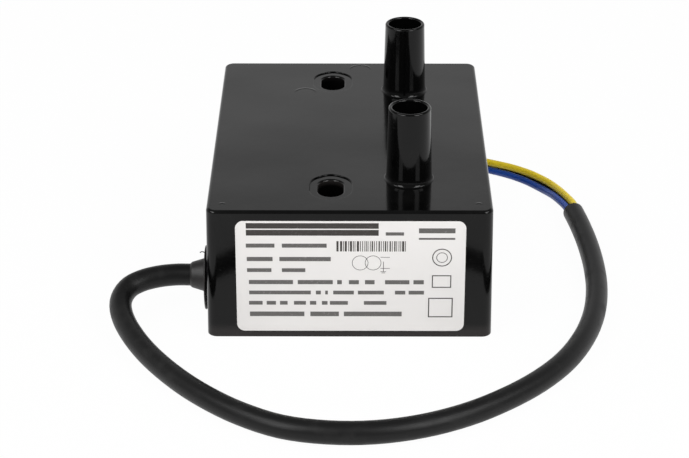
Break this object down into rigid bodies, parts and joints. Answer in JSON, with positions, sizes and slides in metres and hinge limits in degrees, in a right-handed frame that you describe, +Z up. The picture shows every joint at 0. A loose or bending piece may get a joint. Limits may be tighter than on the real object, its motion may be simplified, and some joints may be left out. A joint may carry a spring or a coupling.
{
  "type": "ignition transformer",
  "caption": "Potted black ignition transformer with two hollow high-voltage towers, through mounting slots, a front label and a short three-core mains lead.",
  "frame": {"origin": "middle of the case's footprint, on the surface that it stands on", "axes": "+Z up through the towers, -Y out of the face with the label, the gland on the -X side"},
  "size_m": [0.1544, 0.1901, 0.0655],
  "materials": {
    "case_plastic": "glossy moulded black thermoplastic",
    "resin": "cast potting resin, faintly glossy",
    "core_steel": "stacked silicon-steel laminations",
    "pressboard": "pressboard",
    "former_plastic": "glass-filled nylon",
    "enamelled_wire": "enamelled copper wire",
    "tape": "polyester tape",
    "tinned_metal": "tinned copper",
    "contact_brass": "turned brass",
    "core_yellow": "yellow insulation with a green stripe",
    "core_black": "black insulation",
    "core_blue": "blue insulation",
    "label_film": "silvery white polyester film",
    "gland_rubber": "satin dark nylon",
    "sheath": "satin black flexible sheath"
  },
  "bodies": {
    "root": {"case": "case_plastic", "potting_resin": "resin", "core_u": "core_steel", "core_i": "core_steel", "magnetic_shunt": "core_steel", "shunt_shims": "pressboard", "primary_bobbin": "former_plastic", "primary_winding": "enamelled_wire", "primary_wrap": "tape", "primary_terminals": "tinned_metal", "secondary_bobbin_front": "former_plastic", "secondary_bobbin_rear": "former_plastic", "secondary_winding_front": "enamelled_wire", "secondary_winding_rear": "enamelled_wire", "mid_point_lead": "enamelled_wire", "hv_lead_front": "enamelled_wire", "hv_lead_rear": "enamelled_wire", "hv_contact_front": "contact_brass", "hv_contact_rear": "contact_brass", "earth_tag": "tinned_metal", "lead_earth": "core_yellow", "lead_live": "core_black", "lead_neutral": "core_blue", "rating_label": "label_film", "cable_gland": "gland_rubber", "cable_sheath": "sheath", "core_earth": "core_yellow", "core_live": "core_black", "core_neutral": "core_blue", "ferrule_earth": "tinned_metal", "ferrule_live": "tinned_metal", "ferrule_neutral": "tinned_metal"}
  },
  "joints": []
}
